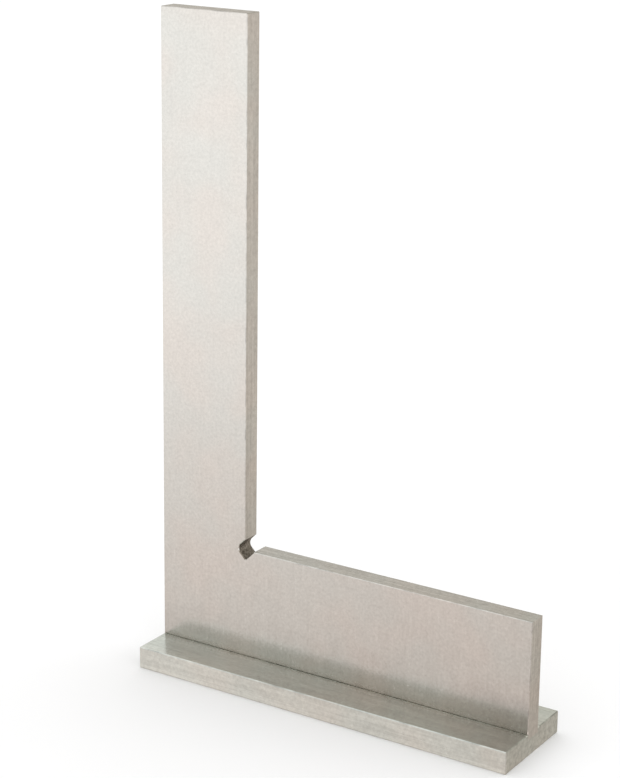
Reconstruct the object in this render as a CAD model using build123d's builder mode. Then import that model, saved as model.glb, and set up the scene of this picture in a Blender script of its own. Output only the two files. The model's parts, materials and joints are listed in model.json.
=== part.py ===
"""Back square: an L-shaped steel blade that stands on edge along the middle of a flat stop bar.

Frame: the origin is the middle of the stop bar's underside. +X runs along the bar from the outer
corner to the free end of the short leg, +Y runs across the bar, and +Z runs up the long leg.
The blade's foot is let into a shallow groove in the bar. Two dowel pins locate it and three
countersunk screws hold it, all of them put in from the underside.
"""
import os

from build123d import *

# Blade: one L-shaped plate with a tongue along its foot
length = 130.0  # bar and short leg, end to end
leg_height = 200.0  # long leg above the bar's top face
leg_width = 31.0  # long leg, outer edge to inner edge
foot_height = 35.0  # short leg above the bar's top face
blade_thickness = 6.5
relief_width = 4.7  # slot cut at 45 degrees into the inner corner, with a flat bottom
relief_depth = 2.1  # from the inner corner to the slot's bottom
relief_upper_radius = 2.1  # where the bottom meets the wall on the long leg's side
relief_lower_radius = 0.3  # where it meets the wall on the short leg's side
blade_edge_break = 0.2

# Stop bar
bar_width = 33.0
bar_thickness = 7.0
bar_edge_break = 0.25
groove_depth = 1.5  # the tongue fills it from end to end
groove_edge_break = 0.2

# Countersunk screws with a hexagon socket, M3 x 12
screw_count = 3
screw_pitch = 38.0
screw_length = 12.0
screw_radius = 1.5
screw_clearance_radius = 1.7
head_radius = 2.8
head_rim = 0.3  # straight part of the head, outside the cone
socket_across_flats = 2.0
socket_depth = 1.1
screw_point_chamfer = 0.4
tapped_depth = 9.0

# Dowel pins, 3 x 12
pin_count = 2
pin_spacing = 110.0
pin_length = 12.0
pin_radius = 1.5
pin_end_chamfer = 0.4
pin_hole_depth = 8.0

recess = 0.2  # screw heads and pins sit this far inside the underside

# Places worked out from the sizes above
outer_x = -length / 2
end_x = length / 2
inner_x = outer_x + leg_width
inner_z = bar_thickness + foot_height
top_z = bar_thickness + leg_height
foot_z = bar_thickness - groove_depth
tongue_thickness = blade_thickness - 2 * blade_edge_break
countersink_radius = head_radius + head_rim + recess
cone_height = head_radius - screw_radius

# Stands at the inner corner, with its x axis pointing away from the metal at 45 degrees
relief_plane = Plane(origin=(inner_x, 0, inner_z), x_dir=(1, 0, 1), z_dir=(0, -1, 0))

# Faces that point down, so that holes made from them go upwards into the metal
underside = Plane(origin=(0, 0, 0), x_dir=(1, 0, 0), z_dir=(0, 0, -1))
foot_face = Plane(origin=(0, 0, foot_z), x_dir=(1, 0, 0), z_dir=(0, 0, -1))
recessed_plane = Plane.XY.offset(recess)

os.makedirs("parts", exist_ok=True)

# Blade. The long edges of its legs are broken, and the thinner tongue below them stays square.
with BuildPart() as blade:
    with BuildSketch(Plane.XZ):
        with BuildLine():
            Polyline(
                (outer_x, bar_thickness),
                (end_x, bar_thickness),
                (end_x, inner_z),
                (inner_x, inner_z),
                (inner_x, top_z),
                (outer_x, top_z),
                close=True,
            )
        make_face()
    extrude(amount=blade_thickness / 2, both=True)
    with BuildSketch(relief_plane) as relief:
        with Locations((-relief_depth, 0)):
            Rectangle(2 * relief_width, relief_width, align=(Align.MIN, Align.CENTER))
        fillet(relief.vertices().sort_by_distance((-relief_depth, -relief_width / 2))[0],
               radius=relief_lower_radius)
        fillet(relief.vertices().sort_by_distance((-relief_depth, relief_width / 2))[0],
               radius=relief_upper_radius)
    extrude(amount=blade_thickness / 2, both=True, mode=Mode.SUBTRACT)
    side_edges = blade.faces().filter_by(Axis.Y).edges()
    top_end_edges = blade.faces().sort_by(Axis.Z)[-1].edges().filter_by(Axis.Y)
    chamfer(side_edges + top_end_edges, length=blade_edge_break)
    with BuildSketch(Plane.XY.offset(foot_z)):
        Rectangle(length, tongue_thickness)
    extrude(amount=groove_depth)
    with Locations(foot_face):
        with GridLocations(screw_pitch, 1, screw_count, 1):
            Hole(screw_radius, depth=tapped_depth)
        with GridLocations(pin_spacing, 1, pin_count, 1):
            Hole(pin_radius, depth=pin_hole_depth)
blade.part.label = "blade"
export_step(blade.part, "parts/blade.step")

# Stop bar
with BuildPart() as stop_bar:
    with BuildSketch(Plane.XY):
        Rectangle(length, bar_width)
    extrude(amount=bar_thickness)
    chamfer(stop_bar.edges(), length=bar_edge_break)
    with BuildSketch(Plane.XY.offset(foot_z)):
        Rectangle(length, tongue_thickness)
    extrude(amount=groove_depth, mode=Mode.SUBTRACT)
    long_top_edges = stop_bar.edges().filter_by(Axis.X).group_by(Axis.Z)[-1]
    groove_edges = long_top_edges.sort_by_distance((0, 0, bar_thickness))[:2]
    chamfer(groove_edges, length=groove_edge_break)
    with Locations(underside):
        with GridLocations(screw_pitch, 1, screw_count, 1):
            CounterSinkHole(screw_clearance_radius, countersink_radius, counter_sink_angle=90)
        with GridLocations(pin_spacing, 1, pin_count, 1):
            Hole(pin_radius)
stop_bar.part.label = "stop_bar"
export_step(stop_bar.part, "parts/stop_bar.step")


def screw_at(x):
    """A countersunk screw standing point upwards, with its head face towards the underside."""
    with BuildPart() as screw:
        with BuildSketch(Plane.XZ):
            with BuildLine():
                Polyline(
                    (0, recess),
                    (head_radius, recess),
                    (head_radius, recess + head_rim),
                    (screw_radius, recess + head_rim + cone_height),
                    (screw_radius, recess + screw_length - screw_point_chamfer),
                    (screw_radius - screw_point_chamfer, recess + screw_length),
                    (0, recess + screw_length),
                    close=True,
                )
            make_face()
        revolve(axis=Axis.Z)
        with BuildSketch(recessed_plane):
            RegularPolygon(socket_across_flats / 2, 6, major_radius=False)
        extrude(amount=socket_depth, mode=Mode.SUBTRACT)
    return screw.part.moved(Location((x, 0, 0)))


def pin_at(x):
    """A plain dowel pin with both ends chamfered."""
    with BuildPart() as pin:
        with BuildSketch(recessed_plane):
            Circle(pin_radius)
        extrude(amount=pin_length)
        chamfer(pin.edges().filter_by(GeomType.CIRCLE), length=pin_end_chamfer)
    return pin.part.moved(Location((x, 0, 0)))


# Screws and pins, numbered from the outer corner towards the free end
for number in range(screw_count):
    screw = screw_at((number - (screw_count - 1) / 2) * screw_pitch)
    screw.label = f"screw_{number + 1}"
    export_step(screw, f"parts/{screw.label}.step")

for number in range(pin_count):
    pin = pin_at((number - (pin_count - 1) / 2) * pin_spacing)
    pin.label = f"dowel_pin_{number + 1}"
    export_step(pin, f"parts/{pin.label}.step")
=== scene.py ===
"""Looks of the all-steel back square: ground steel, a pale studio floor and soft light."""
import json
import math

import bpy
from mathutils import Matrix, Vector


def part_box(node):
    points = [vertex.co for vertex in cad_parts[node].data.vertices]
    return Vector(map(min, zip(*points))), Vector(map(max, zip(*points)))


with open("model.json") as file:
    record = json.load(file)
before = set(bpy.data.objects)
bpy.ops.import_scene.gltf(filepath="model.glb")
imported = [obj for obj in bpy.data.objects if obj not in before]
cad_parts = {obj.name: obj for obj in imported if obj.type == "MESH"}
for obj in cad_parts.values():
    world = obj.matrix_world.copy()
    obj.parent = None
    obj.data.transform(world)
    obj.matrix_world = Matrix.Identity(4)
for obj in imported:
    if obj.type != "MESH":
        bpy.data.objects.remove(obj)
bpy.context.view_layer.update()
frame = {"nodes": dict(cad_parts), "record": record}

nodes = frame["nodes"]
mounts = {mount["name"]: Vector(mount["pos_m"]) for mount in frame["record"]["mounts"]}
scene = bpy.context.scene

MM = 0.001
X, Y, Z = range(3)
AXES = ((1, 0, 0), (0, 1, 0), (0, 0, 1))
SQUARE_ON = 0.8  # a face looks along an axis when its normal's part on that axis is above this

bar_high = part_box("stop_bar")[1]
blade_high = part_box("blade")[1]
inner_corner = Vector((mounts["inner_edge_long_leg"].x, 0, mounts["inner_edge_short_leg"].z))
relief_width = 4.7 * MM  # the slot at the inner corner, cut at 45 degrees
relief_reach = relief_width / math.sqrt(2)  # from the corner to where the slot leaves either edge
pin_low, pin_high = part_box("dowel_pin_1")
pin_diameter = pin_high.x - pin_low.x


# ---------------------------------------------------------------- camera

def make_camera():
    """The photograph's view: from the front and the right, a little above the square."""
    azimuth, elevation, roll = math.radians(32.57), math.radians(14.92), math.radians(0.71)
    target = Vector((-0.01286, -0.00078, 0.12102))
    distance = 0.6259
    back = Vector((  # from the target towards the camera
        math.sin(azimuth) * math.cos(elevation),
        -math.cos(azimuth) * math.cos(elevation),
        math.sin(elevation),
    ))
    data = bpy.data.cameras.new("camera")
    data.sensor_width = 36.0
    data.lens = 98.41
    data.shift_y = -0.1003
    data.clip_start = 0.01
    data.clip_end = 100.0
    camera = bpy.data.objects.new("camera", data)
    scene.collection.objects.link(camera)
    turn = (-back).to_track_quat("-Z", "Y").to_matrix().to_4x4()
    place = Matrix.Translation(target + back * distance)
    camera.matrix_world = place @ turn @ Matrix.Rotation(roll, 4, "Z")
    scene.camera = camera


make_camera()


# ---------------------------------------------------------------- node helpers

def grey(level):
    return (level, level, level, 1)


class Tree:
    """Short ways to add and join shader nodes."""

    def __init__(self, tree):
        self.tree = tree

    def add(self, kind, **settings):
        node = self.tree.nodes.new("ShaderNode" + kind)
        for name, value in settings.items():
            setattr(node, name, value)
        return node

    def feed(self, socket, value):
        """Join a socket to another node's output, or give it a constant."""
        if isinstance(value, bpy.types.NodeSocket):
            self.tree.links.new(value, socket)
        else:
            socket.default_value = value

    def math(self, operation, *values):
        node = self.add("Math", operation=operation)
        for socket, value in zip(node.inputs, values):
            self.feed(socket, value)
        return node.outputs[0]

    def product(self, first, *others):
        result = first
        for value in others:
            result = self.math("MULTIPLY", result, value)
        return result

    def vector(self, operation, *values):
        node = self.add("VectorMath", operation=operation)
        for socket, value in zip(node.inputs, values):
            self.feed(socket, value)
        return node.outputs["Value" if operation in ("DOT_PRODUCT", "LENGTH") else "Vector"]

    def split(self, vector):
        node = self.add("SeparateXYZ")
        self.feed(node.inputs[0], vector)
        return node.outputs

    def ramp(self, value, low, high, to_low=0.0, to_high=1.0):
        """Smooth step from to_low at low to to_high at high, held at both ends."""
        node = self.add("MapRange", interpolation_type="SMOOTHSTEP")
        for name, given in (("Value", value), ("From Min", low), ("From Max", high),
                            ("To Min", to_low), ("To Max", to_high)):
            self.feed(node.inputs[name], given)
        return node.outputs["Result"]

    def blend(self, factor, a, b, kind="RGBA", mode="MIX"):
        """Mix two values of one kind: RGBA, VECTOR or VALUE."""
        node = self.add("Mix", data_type="FLOAT" if kind == "VALUE" else kind)
        if kind == "RGBA":
            node.blend_type = mode
        self.feed(node.inputs["Factor"], factor)
        pair = [s for s in node.inputs if s.enabled and s.name in ("A", "B")]
        self.feed(pair[0], a)
        self.feed(pair[1], b)
        return [s for s in node.outputs if s.enabled][0]

    def noise(self, where, size, detail, seed):
        """Noise between about -1 and 1. Its features' size in metres is one for all axes or three."""
        scaled = self.vector("DIVIDE", where, size if isinstance(size, tuple) else (size,) * 3)
        moved = self.vector("ADD", scaled, (seed, seed * 0.7, -seed * 1.3))
        node = self.add("TexNoise")
        self.feed(node.inputs["Vector"], moved)
        self.feed(node.inputs["Scale"], 1.0)
        self.feed(node.inputs["Detail"], detail)
        return self.math("MULTIPLY_ADD", node.outputs["Fac"], 4.0, -2.0)

    def total(self, *terms):
        """Sum of (value, weight) pairs."""
        result = 0.0
        for value, weight in terms:
            result = self.math("MULTIPLY_ADD", value, weight, result)
        return result


# ---------------------------------------------------------------- studio

def make_floor():
    """A pale floor that hides nothing from below, where the square's fastenings are."""
    mesh = bpy.data.meshes.new("floor")
    half = 6.0  # half of its side, far past every view's edge
    corners = [(-half, -half, 0), (half, -half, 0), (half, half, 0), (-half, half, 0)]
    mesh.from_pydata(corners, [], [(0, 1, 2, 3)])
    floor = bpy.data.objects.new("floor", mesh)
    floor.location.z = -0.05 * MM  # just clear of the bar's underside
    scene.collection.objects.link(floor)
    material = bpy.data.materials.new("floor")
    material.use_nodes = True
    shader = material.node_tree.nodes["Principled BSDF"]
    shader.inputs["Base Color"].default_value = grey(0.9)
    shader.inputs["Roughness"].default_value = 0.9
    shader.inputs["Specular IOR Level"].default_value = 0.2
    t = Tree(material.node_tree)
    one_sided = t.add("MixShader")
    t.feed(one_sided.inputs[0], t.add("NewGeometry").outputs["Backfacing"])
    t.feed(one_sided.inputs[1], shader.outputs["BSDF"])
    t.feed(one_sided.inputs[2], t.add("BsdfTransparent").outputs["BSDF"])
    t.feed(t.tree.nodes["Material Output"].inputs["Surface"], one_sided.outputs["Shader"])
    mesh.materials.append(material)
    floor.visible_glossy = False


def direction(heading, height):
    """Unit vector: heading in degrees from +X towards +Y, height in degrees above the horizon."""
    heading, height = math.radians(heading), math.radians(height)
    return (
        math.cos(heading) * math.cos(height),
        math.sin(heading) * math.cos(height),
        math.sin(height),
    )


def make_world():
    """White to the eye, while the steel mirrors a studio.

    In front lies a table, bright far off and dimmer near the object, and behind is a room. Above
    the horizon both turn into a dim ceiling, with one big soft box high on the left. Each ramp
    runs over a part of the direction's unit vector, so over -1 to 1 at most.
    """
    world = bpy.data.worlds.new("studio")
    scene.world = world
    world.use_nodes = True
    t = Tree(world.node_tree)
    way = t.add("TexCoord").outputs["Generated"]
    x, y, z = t.split(way)

    room_floor, room_wall = (0.64, 0.58, 0.515, 1), (0.87, 0.81, 0.745, 1)
    table_near, table_far = (0.744, 0.652, 0.603, 1), (1.355, 1.342, 1.332, 1)
    table_shade = (0.40, 0.39, 0.37, 1)
    ceiling_left, ceiling_right = (0.60, 0.505, 0.44, 1), (0.52, 0.455, 0.39, 1)
    ceiling_back = (0.63, 0.60, 0.535, 1)
    soft_box_light = (1.2, 1.19, 1.17, 1)

    room = t.blend(t.ramp(z, -0.48, -0.18), room_floor, room_wall)
    table = t.blend(t.ramp(z, -0.45, -0.22), table_near, table_far)
    middle = t.product(t.ramp(x, -0.38, -0.02), t.ramp(x, 0.65, 0.25))
    table = t.blend(middle, table, t.blend(0.35, table, table_shade))
    low = t.blend(t.ramp(y, 0.25, -0.35), room, table)

    ceiling_front = t.blend(t.ramp(x, -0.45, -0.38), ceiling_left, ceiling_right)
    ceiling = t.blend(t.ramp(y, 0.1, -0.3), ceiling_back, ceiling_front)
    light = t.blend(t.ramp(z, 0.0, 0.22), low, ceiling)

    to_soft_box = t.vector("DOT_PRODUCT", way, direction(180, 50))
    outer_rim, inner_rim = math.cos(math.radians(50.5)), math.cos(math.radians(45))
    light = t.blend(t.ramp(to_soft_box, outer_rim, inner_rim), light, soft_box_light)

    path = t.add("LightPath")
    light = t.blend(path.outputs["Is Diffuse Ray"], light, grey(1.18))
    light = t.blend(path.outputs["Is Camera Ray"], light, grey(1.0))
    t.feed(world.node_tree.nodes["Background"].inputs["Color"], light)
    world.cycles.sampling_method = "NONE"


make_floor()
make_world()
scene.view_settings.view_transform = "Standard"


# ---------------------------------------------------------------- steel

class Surface(Tree):
    """A new metal material, with the values that its finish is made of."""

    def __init__(self, name):
        self.material = bpy.data.materials.new(name)
        self.material.use_nodes = True
        super().__init__(self.material.node_tree)
        self.shader = self.tree.nodes["Principled BSDF"]
        self.shader.inputs["Metallic"].default_value = 1.0
        self.place = self.add("TexCoord").outputs["Object"]
        self.normal = self.add("NewGeometry").outputs["True Normal"]
        self.facings = self.split(self.vector("ABSOLUTE", self.normal))

    def edge_nearness(self, reach):
        """1 at a sharp edge, falling to 0 about reach away from it."""
        bevel = self.add("Bevel", samples=6)
        bevel.inputs["Radius"].default_value = reach
        agreement = self.vector("DOT_PRODUCT", bevel.outputs["Normal"], self.normal)
        return self.ramp(agreement, 0.995, 0.9)

    def grain(self, faces, width, length, seed):
        """Noise drawn out along an axis. faces is [axis, (mask, axis), ...], and the last mask wins."""
        def along(axis):
            size = tuple(length if i == axis else width for i in range(3))
            return self.noise(self.place, size, 2.0, seed + axis)

        result = along(faces[0])
        for mask, axis in faces[1:]:
            result = self.blend(mask, result, along(axis), "VALUE")
        return result

    def tangent(self, faces):
        """Lay the shader's tangent along the grain of the same faces."""
        result = AXES[faces[0]]
        for mask, axis in faces[1:]:
            result = self.blend(mask, result, AXES[axis], "VECTOR")
        self.feed(self.shader.inputs["Tangent"], result)

    def finish(self, colour, tone, rough, height, bump_distance):
        """Join the colour, made lighter by tone, the roughness and the bump to the shader."""
        shade = self.math("ADD", tone, 1.0)
        bump = self.add("Bump")
        bump.inputs["Distance"].default_value = bump_distance
        self.feed(bump.inputs["Height"], height)
        self.feed(self.shader.inputs["Base Color"], self.blend(1.0, colour, shade, mode="MULTIPLY"))
        self.feed(self.shader.inputs["Roughness"], rough)
        self.feed(self.shader.inputs["Normal"], bump.outputs["Normal"])
        return self.material


def ground_steel(name, colour, roughness, anisotropy, is_blade):
    """Surface-ground steel, with grain and mottle, edges lightened as wear and as a painted highlight,
    painted light in the seam's V, and painted shade: tinted brown and rougher along the seam, low on
    the blade, on the narrow faces and chamfers and in the relief slot.
    """
    s = Surface(name)
    x, y, z = s.split(s.place)

    # Masks: which way a face looks, and how far it is from the seam between blade and bar
    on_end, on_side, on_top = (s.math("GREATER_THAN", facing, SQUARE_ON) for facing in s.facings)
    flat = s.math("MAXIMUM", s.math("MAXIMUM", on_end, on_side), on_top)
    on_chamfer = s.math("SUBTRACT", 1.0, flat)
    if is_blade:
        at_tip = s.product(on_top, s.math("GREATER_THAN", z, blade_high.z - MM))
        faces = [Z, (on_top, X), (at_tip, Y)]
        narrow = s.math("MAXIMUM", on_end, on_top)
        from_seam = s.math("SUBTRACT", z, bar_high.z)
    else:
        faces = [X, (on_end, Y)]
        narrow = on_end
        from_seam = s.math("SUBTRACT", s.math("ABSOLUTE", y), blade_high.y)

    # Noises, from fine to coarse
    hairlines = s.grain(faces, 0.22 * MM, 7 * MM, 3.1)
    streaks = s.grain(faces, 1.1 * MM, 26 * MM, 11.7)
    bands = s.grain(faces, 0.6 * MM, 60 * MM, 23.3)
    mottle = s.noise(s.place, 0.9 * MM, 2.0, 5.3)
    flecks = s.noise(s.place, 1.8 * MM, 3.0, 8.9)
    clouds = s.noise(s.place, 5 * MM, 2.0, 17.9)
    drift = s.noise(s.place, 24 * MM, 1.0, 29.3)
    tint = s.noise(s.place, 17 * MM, 1.0, 41.1)

    # Edges: lightened in patches, as wear and as a painted highlight, or left dull; painted light in
    # the seam's V; and painted shade, tinted brown, that creeps out of the seam
    patchy = s.ramp(s.noise(s.place, 6 * MM, 2.0, 13.7), -0.9, 0.7, 0.15, 1.0)
    clear_of_seam = s.ramp(s.math("ABSOLUTE", from_seam), 0.8 * MM, 1.2 * MM)
    # Lighter near sharp edges, in patches: wear, and a painted highlight along the edges
    edge_wear_and_highlight = s.product(s.edge_nearness(0.5 * MM), patchy, clear_of_seam)
    dull_edge = s.product(on_chamfer, s.ramp(patchy, 0.8, 0.2))
    # The chamfers that meet at the seam are lightened: painted light in the shaded V between blade and
    # bar
    seam_painted_light = s.product(on_chamfer, s.math("SUBTRACT", 1.0, clear_of_seam))
    upward = s.math("GREATER_THAN", s.split(s.normal)[Z], SQUARE_ON)
    # Darker close to the seam, on the blade's sides and on the bar's top: painted shade in the corner
    # between them
    seam_shade_reach = s.ramp(s.total((clouds, 0.6 * MM), (from_seam, 1.0)), 2.2 * MM, 0.0)
    seam_shade = s.product(seam_shade_reach, on_side if is_blade else upward)

    # Tone: how much lighter or darker than its colour the steel is, in parts of 1
    # The chamfers are darker, more so on the bar: painted shade that dims their highlights
    terms = [(hairlines, 0.018), (streaks, 0.016), (mottle, 0.07), (clouds, 0.016), (drift, 0.014),
             (on_chamfer, -0.08 if is_blade else -0.16), (dull_edge, -0.22), (seam_painted_light, 0.5),
             (edge_wear_and_highlight, 0.05), (seam_shade, -0.05)]
    if is_blade:
        # Darker low on the blade's sides near the bar, and more so towards its free end: painted shade
        painted_foot_shade = s.ramp(s.total((clouds, 1.5 * MM), (from_seam, 1.0)), 15 * MM, 5 * MM)
        painted_foot_shade = s.product(painted_foot_shade, on_side)
        free_end = s.ramp(x, 28 * MM, 62 * MM)
        # The blade's top end gets its own flecks and streaks and is darker all over: painted shade
        tip_grain_and_shade = s.total((flecks, 0.07), (streaks, 0.08), (1.0, -0.14))
        # The blade's narrow faces get their own grain and are darker all over: painted shade
        narrow_grain_and_shade = s.total((bands, 0.08), (streaks, 0.05), (flecks, 0.06), (1.0, -0.12))
        terms += [(painted_foot_shade, -0.05), (s.product(painted_foot_shade, free_end), -0.12), (flecks, 0.02),
                  (s.product(at_tip, tip_grain_and_shade), 1.0)]
    else:
        lines = s.grain(faces, 2.2 * MM, 34 * MM, 51.9)
        # The bar's ends get their own grain and are darker all over: painted shade
        narrow_grain_and_shade = s.total((mottle, 0.05), (flecks, 0.06), (lines, -0.04), (bands, -0.05),
                            (1.0, -0.20))
        terms += [(bands, 0.06), (lines, 0.06), (streaks, 0.04), (flecks, 0.05)]
    tone = s.math("ADD", s.total(*terms), s.product(narrow, narrow_grain_and_shade))

    # Colour drifts slowly between a warmer and a cooler cast, and the painted shade at the seam is
    # tinted brown
    warmer, cooler = (1.018, 0.997, 0.990, 1), (0.984, 1.004, 1.008, 1)
    cast = s.blend(s.ramp(tint, -0.8, 0.8), warmer, cooler)
    steel = s.blend(1.0, colour, cast, mode="MULTIPLY")
    steel = s.blend(s.product(seam_shade, 0.2), steel, (0.46, 0.41, 0.34, 1))
    rough = s.total((hairlines, 0.020), (streaks, 0.012), (mottle, 0.016), (clouds, 0.010),
                    (on_chamfer, -0.05), (seam_shade, 0.05), (1.0, roughness))
    height = s.total((hairlines, 0.35), (streaks, 1.1), (mottle, 0.9))

    if is_blade:  # the relief slot's wall is rough and pitted, as milled, and painted dark: painted shade in the slot
        from_corner = s.vector("SUBTRACT", s.place, tuple(inner_corner))
        from_corner = s.vector("LENGTH", s.vector("MULTIPLY", from_corner, (1, 0, 1)))
        near = s.math("LESS_THAN", from_corner, relief_reach - 0.02 * MM)  # just inside its mouth
        wall = s.product(near, s.math("LESS_THAN", s.facings[Y], 0.5))
        pits = s.noise(s.place, 0.5 * MM, 3.0, 7.7)
        dark, light = (0.17, 0.15, 0.125, 1), (0.56, 0.52, 0.47, 1)
        dull = s.blend(s.ramp(pits, -0.7, 1.1), dark, light)
        steel = s.blend(wall, steel, dull)
        rough = s.blend(wall, rough, 0.5, "VALUE")
        height = s.blend(wall, height, s.product(pits, 10.0), "VALUE")

    s.tangent(faces)
    s.shader.inputs["Anisotropic"].default_value = anisotropy
    s.shader.inputs["Anisotropic Rotation"].default_value = 0.25  # a quarter turn
    return s.finish(steel, tone, rough, height, 0.0011 * MM)


def turned_marks(s, pitch, seed):
    """Rings round the part's own upright axis, as a lathe or a cylindrical grinder leaves them."""
    own = s.vector("SUBTRACT", s.add("TexCoord").outputs["Generated"], (0.5, 0.5, 0))
    radius = s.vector("LENGTH", s.vector("MULTIPLY", own, (1, 1, 0)))
    z = s.split(s.place)[Z]
    rings = s.add("CombineXYZ")
    s.feed(rings.inputs[X], s.product(radius, pin_diameter))
    s.feed(rings.inputs[Z], z)
    return s.noise(rings.outputs[0], pitch, 2.0, seed)


def black_steel(name):
    """Blackened screw steel: oily black with a blotchy sheen, rubbed to bright metal on its edges."""
    s = Surface(name)
    rings = turned_marks(s, 0.12 * MM, 2.3)
    blotches = s.noise(s.place, 1.6 * MM, 3.0, 6.1)
    grit = s.noise(s.place, 0.16 * MM, 2.0, 9.4)
    rubbed = s.product(s.edge_nearness(0.14 * MM), s.ramp(blotches, -0.8, 0.6, 0.2, 1.0))
    oxide = s.blend(s.ramp(blotches, -0.9, 0.9), (0.050, 0.047, 0.046, 1), (0.085, 0.078, 0.072, 1))
    steel = s.blend(s.product(rubbed, 0.7), oxide, (0.40, 0.38, 0.35, 1))
    tone = s.total((grit, 0.15), (rings, 0.10))
    rough = s.total((grit, 0.03), (blotches, 0.05), (rubbed, -0.08), (1.0, 0.36))
    height = s.total((grit, 1.0), (rings, 0.8))
    return s.finish(steel, tone, rough, height, 0.002 * MM)


def pin_ground_steel(name):
    """Hardened dowel steel: bright and fine, ground in rings, with a dull straw blush."""
    s = Surface(name)
    rings = turned_marks(s, 0.10 * MM, 4.7)
    grit = s.noise(s.place, 0.2 * MM, 2.0, 12.1)
    blush = s.noise(s.place, 1.9 * MM, 2.0, 15.8)
    steel = s.blend(s.ramp(blush, -0.9, 0.9), (0.60, 0.585, 0.555, 1), (0.64, 0.60, 0.53, 1))
    # The edges are made lighter: wear, and a painted highlight
    edge_wear_and_highlight = s.edge_nearness(0.15 * MM)
    tone = s.total((rings, 0.06), (grit, 0.04), (edge_wear_and_highlight, 0.08))
    rough = s.total((rings, 0.03), (grit, 0.02), (1.0, 0.19))
    height = s.total((rings, 1.0), (grit, 0.4))
    return s.finish(steel, tone, rough, height, 0.001 * MM)


def dress(node, material):
    mesh = nodes[node].data
    mesh.materials.clear()
    mesh.materials.append(material)


finishes = {
    "blade": ground_steel("blade_steel", (0.625, 0.61, 0.58, 1), 0.24, 0.4, is_blade=True),
    "stop_bar": ground_steel("bar_steel", (0.647, 0.674, 0.64, 1), 0.21, 0.5, is_blade=False),
    "screw": black_steel("screw_steel"),
    "dowel_pin": pin_ground_steel("pin_steel"),
}
for node in nodes:
    kind = node.rstrip("_0123456789")
    dress(node, finishes[kind])
